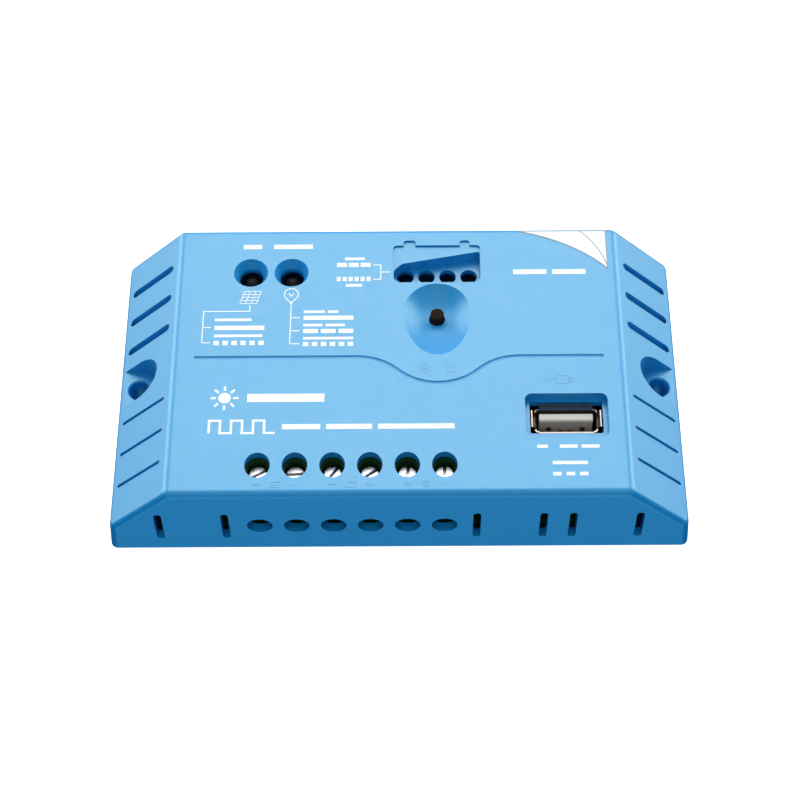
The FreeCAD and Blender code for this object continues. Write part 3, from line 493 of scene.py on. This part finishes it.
def relief_marks(sheet):
    """Raised marks in the case's own plastic: for the button, the outlet and the terminals."""
    x = BUTTON.x
    y = BUTTON.y - 14.3
    lamp_symbol(sheet, x - 2.7, y + 0.2, 1.0)
    sheet.ring(x + 2.7, y, 1.2, SYMBOL, 120, 420)
    sheet.line(((x + 2.7, y + 0.3), (x + 2.7, y + 1.6)), SYMBOL)
    plug_symbol(sheet, USB.x - 0.7, USB.y + 7.9)
    terminal_marks(sheet, SCREWS[0].y - 4.6)


def terminal_marks(sheet, y):
    """Plus and minus under each pair of terminals, and between them a panel, a battery and a lamp."""
    for n, screw in enumerate(SCREWS):
        sheet.line(((screw.x - 0.8, y), (screw.x + 0.8, y)), SYMBOL)
        if n % 2 == 0:
            sheet.line(((screw.x, y - 0.6), (screw.x, y + 0.6)), SYMBOL)
    panel, battery, lamp = [(SCREWS[n].x + SCREWS[n + 1].x) / 2 for n in (0, 2, 4)]
    for row in (-0.6, 0.0, 0.6):
        lean = row / 3
        sheet.line(((panel - 1.1 + lean, y + row), (panel + 0.9 + lean, y + row)), SYMBOL)
    outline = ((-1.1, -0.6), (1.1, -0.6), (1.1, 0.5), (-1.1, 0.5), (-1.1, -0.6))
    sheet.line([(battery + px, y + py) for px, py in outline], SYMBOL)
    lamp_symbol(sheet, lamp, y + 0.2, 0.6)


def plug_symbol(sheet, x, y):
    """A cable plug seen from the side."""
    outline = ((-1.2, -1.0), (1.2, -1.0), (1.2, 1.0), (-1.2, 1.0), (-1.2, -1.0))
    sheet.line([(x + px, y + py) for px, py in outline], SYMBOL)
    for side in (-0.45, 0.45):
        sheet.line(((x + 1.2, y + side), (x + 2.4, y + side)), SYMBOL)
    sheet.line(((x - 1.2, y), (x - 3.6, y)), SYMBOL)


# ---------------------------------------------------------------- corner patch, in millimetres

FILM = 0.02                # thickness of the patch and of its lines
PATCH_LIFT = 0.02          # how far the patch's face stands over the cover
LINE_LIFT = 0.05           # how far the lines' faces stand over it
PROBE = 5.0                # height over the deck from which the cover is found
EDGE_HALF = 0.13           # half the width of the line along the patch's edge
FINE_HALF = 0.1            # half the width of the other lines


def bezier(start, pull, end, part):
    """A point on the quadratic curve from start to end."""
    return start * (1 - part) ** 2 + pull * (2 * part * (1 - part)) + end * part ** 2


def drape(name, rows, material, lift):
    """A thin film over the cover through rows of (x, y) points, laid on the surface below."""
    surface = BVHTree.FromObject(nodes["top_cover"], bpy.context.evaluated_depsgraph_get())
    mesh = bmesh.new()
    grid = []
    for row in rows:
        line = []
        for x, y in row:
            hit = surface.ray_cast(Vector((x * MM, y * MM, (DECK + PROBE) * MM)), Vector((0, 0, -1)))
            line.append(mesh.verts.new(hit[0] + hit[1] * (lift * MM)))
        grid.append(line)
    for first, second in zip(grid, grid[1:]):
        for n in range(len(first) - 1):
            mesh.faces.new((first[n], first[n + 1], second[n + 1], second[n]))
    bmesh.ops.recalc_face_normals(mesh, faces=mesh.faces)
    data = bpy.data.meshes.new(name)
    mesh.to_mesh(data)
    mesh.free()
    piece = bpy.data.objects.new(name, data)
    bpy.context.scene.collection.objects.link(piece)
    data.materials.append(material)
    skin = piece.modifiers.new("film", "SOLIDIFY")
    skin.thickness = FILM * MM
    skin.offset = -1
    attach(piece, "case")


def corner_patch():
    """A plain white corner with a thin grey border, and a thin grey arc across it."""
    corner = Vector((USB.x + 10.4, BACK - 1.0))
    tip = Vector((USB.x - 8.7, corner.y))
    foot = Vector((corner.x, BACK - 11.1))
    pull = Vector((USB.x + 3.2, BACK - 3.7))
    edge = [bezier(tip, pull, foot, n / 40) for n in range(41)]
    rows = [[(p.x, p.y + (corner.y - p.y) * m / 24) for m in range(25)] for p in edge]
    drape("corner_patch", rows, PALE_INK, PATCH_LIFT)
    start = Vector((USB.x + 4.7, corner.y))
    bend = Vector((USB.x + 8.7, BACK - 4.4))
    stop = foot + Vector((-0.1, 0.9))
    parts = [n / 30 for n in range(31)]
    drape_line("corner_edge", edge, EDGE_HALF)
    drape_line("corner_arc", [bezier(start, bend, stop, part) for part in parts], FINE_HALF)
    drape_line("corner_rim", [tip.lerp(corner, part) for part in parts], FINE_HALF)
    drape_line("corner_side", [foot.lerp(corner, part) for part in parts], FINE_HALF)


def drape_line(name, path, half):
    """A thin grey line along a path over the cover, half wide on each side of it."""
    rows = []
    for side in (-half, half):
        row = []
        for n, point in enumerate(path):
            way = (path[min(n + 1, len(path) - 1)] - path[max(n - 1, 0)]).normalized()
            row.append((point.x - way.y * side, point.y + way.x * side))
        rows.append(row)
    drape(name, rows, GREY_INK, LINE_LIFT)


# ---------------------------------------------------------------- studio, in metres and degrees

LENS_MM = 89.8
SENSOR_MM = 36.0
ELEVATION = 57.70          # of the camera over the deck
TURN = -0.513              # of its view from straight ahead
ROLL = -0.757
DISTANCE = 0.43684         # from the camera to where it aims
AIM = Vector((0.00022, 0.00203, 0.00129))
LIGHT_DISTANCE = 0.9       # from each softbox to the object
BOUNCE_BLUE = (0.16, 0.64, 1.0)
SIDE_CYAN = (0.84, 1.0, 1.0)
SOFTBOXES = (              # name, direction, size, power, colour, seen in reflections
    ("key", (0, -0.75, 1.0), 1.2, 4.8, (0.97, 1.0, 0.96), False),
    ("back", (0, 0.66, 1.0), 0.6, 3.3, (1.0, 0.98, 0.86), True),
    ("left", (-0.84, 0.45, 0.22), 0.7, 4.4, SIDE_CYAN, True),
    ("right", (0.84, 0.45, 0.22), 0.7, 4.4, SIDE_CYAN, True),
    ("bounce", (0, -0.86, -0.5), 1.0, 4.6, BOUNCE_BLUE, True),
)
FLOOR_SIZE = 6.0
FLOOR_DROP = 0.00005       # how far the floor lies under the feet
FLOOR_GLOW = 0.9
TENT_COLOUR = (0.90, 0.96, 1.0)


def add_camera():
    """A long lens from the front, high above the deck."""
    pitch = radians(ELEVATION)
    turn = radians(TURN)
    forward = Vector((sin(turn) * cos(pitch), cos(turn) * cos(pitch), -sin(pitch)))
    right = forward.cross(Vector((0, 0, 1))).normalized()
    up = right.cross(forward)
    roll = radians(ROLL)
    across = right * cos(roll) + up * sin(roll)
    upright = up * cos(roll) - right * sin(roll)
    data = bpy.data.cameras.new("camera")
    data.lens = LENS_MM
    data.sensor_width = SENSOR_MM
    data.clip_start = 0.01
    data.clip_end = 20.0
    camera = bpy.data.objects.new("camera", data)
    bpy.context.scene.collection.objects.link(camera)
    axes = Matrix((across, upright, -forward)).transposed().to_4x4()
    camera.matrix_world = Matrix.Translation(AIM - forward * DISTANCE) @ axes
    bpy.context.scene.camera = camera


def add_softbox(name, direction, size, power, colour, reflected):
    """A square light that faces the object from the given direction."""
    data = bpy.data.lights.new(name, "AREA")
    data.size = size
    data.energy = power
    data.color = colour
    light = bpy.data.objects.new(name, data)
    bpy.context.scene.collection.objects.link(light)
    toward = Vector(direction).normalized()
    light.location = toward * LIGHT_DISTANCE
    light.rotation_euler = toward.to_track_quat("Z", "Y").to_euler()
    light.visible_camera = False
    light.visible_glossy = reflected


def add_floor():
    """A plain pale floor that glows like a light table, and only for the camera."""
    bpy.ops.mesh.primitive_plane_add(size=FLOOR_SIZE, location=(0, 0, -FLOOR_DROP))
    floor = bpy.context.object
    floor.name = "floor"
    mat, tree, shader, place = start_material("floor_paint")
    cloud = noise(tree, place, 180.0, 2.0)
    stops = ((0.3, (0.78, 0.80, 0.83)), (0.7, (0.80, 0.82, 0.85)))
    tree.links.new(ramp(tree, cloud, stops), shader.inputs["Base Color"])
    shader.inputs["Roughness"].default_value = 0.9
    shader.inputs["Specular IOR Level"].default_value = 0.1
    shader.inputs["Emission Color"].default_value = (1, 1, 1, 1)
    shader.inputs["Emission Strength"].default_value = FLOOR_GLOW
    floor.data.materials.append(mat)
    floor.visible_diffuse = False
    floor.visible_glossy = False
    floor.visible_shadow = False


def add_world():
    """A light tent: bright behind the object, dark on the camera's side and below."""
    world = bpy.data.worlds.new("studio")
    bpy.context.scene.world = world
    world.use_nodes = True
    tree = world.node_tree
    background = tree.nodes["Background"]
    background.inputs["Color"].default_value = (*TENT_COLOUR, 1)
    way = tree.nodes.new("ShaderNodeTexCoord").outputs["Generated"]
    split = tree.nodes.new("ShaderNodeSeparateXYZ")
    tree.links.new(way, split.inputs["Vector"])
    behind = to_range(tree, split.outputs["Y"], 0.06, 1.0, (-0.1, 0.35))
    above = to_range(tree, split.outputs["Z"], 0.04, 1.0, (-0.08, 0.0))
    both = tree.nodes.new("ShaderNodeMath")
    both.operation = "MULTIPLY"
    tree.links.new(behind, both.inputs[0])
    tree.links.new(above, both.inputs[1])
    tree.links.new(both.outputs["Value"], background.inputs["Strength"])


# ---------------------------------------------------------------- the scene

dress_cad_nodes()
prints = Sheet(PRINT_HEIGHT)
print_lamp_legends(prints)
print_level_legend(prints)
print_titles(prints)
prints.finish("deck_print", WHITE_INK)
relief = Sheet(RELIEF_HEIGHT)
relief_marks(relief)
relief.finish("deck_relief", SLOT_MATERIALS["case_plastic"])
corner_patch()

add_camera()
for softbox in SOFTBOXES:
    add_softbox(*softbox)
add_floor()
add_world()
bpy.context.scene.view_settings.view_transform = "Standard"
